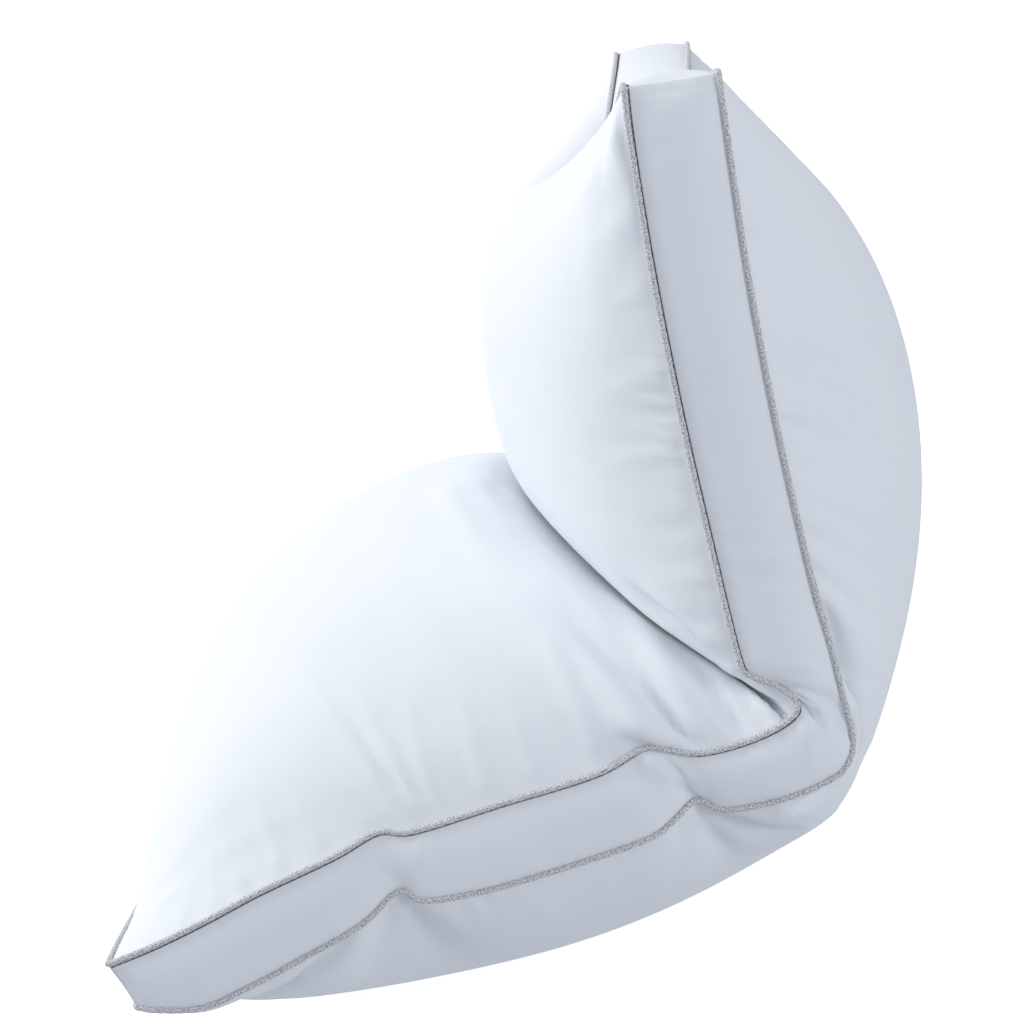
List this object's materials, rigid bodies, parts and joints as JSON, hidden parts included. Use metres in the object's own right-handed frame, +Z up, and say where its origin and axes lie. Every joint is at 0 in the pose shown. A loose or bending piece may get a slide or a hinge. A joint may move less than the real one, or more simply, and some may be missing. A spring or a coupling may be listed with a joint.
{
  "type": "bed pillow",
  "caption": "Gusseted bed pillow with piped seams, folded into an L: one half lies flat, the other stands up and opens out about the fold.",
  "frame": {"origin": "centre of the folded pillow's bounding box, on the floor it rests on", "axes": "+Z up; -X towards the short end of the lying half; the raised half stands at +X; Y across the pillow's width"},
  "size_m": [0.4344, 0.4206, 0.4003],
  "materials": {
    "casing": "matte fine woven cotton",
    "piping": "grey melange woven tape",
    "cord": "twisted cotton",
    "thread": "spun polyester thread",
    "fill": "loose polyester fibre"
  },
  "bodies": {
    "lying_half": {"casing_fold": "casing", "closing_seam": "thread", "fill_fold": "fill", "fill_lying": "fill", "gusset_end_lying": "casing", "gusset_far_lying": "casing", "gusset_near_lying": "casing", "lower_panel_lying": "casing", "piping_cord_lower_lying": "cord", "piping_cord_upper_lying": "cord", "piping_tape_lower_lying": "piping", "piping_tape_upper_lying": "piping", "seam_thread_lower_lying": "thread", "seam_thread_upper_lying": "thread", "upper_panel_lying": "casing"},
    "raised_half": {"fill_raised": "fill", "gusset_end_raised": "casing", "gusset_far_raised": "casing", "gusset_near_raised": "casing", "lower_panel_raised": "casing", "piping_cord_lower_raised": "cord", "piping_cord_upper_raised": "cord", "piping_tape_lower_raised": "piping", "piping_tape_upper_raised": "piping", "seam_thread_lower_raised": "thread", "seam_thread_upper_raised": "thread", "upper_panel_raised": "casing"}
  },
  "joints": [
    {"name": "fold", "type": "hinge", "parent": "lying_half", "child": "raised_half", "pos_m": [0.1402, 0, 0.09], "axis": [0, 1, 0], "range_deg": [0, 80]}
  ]
}
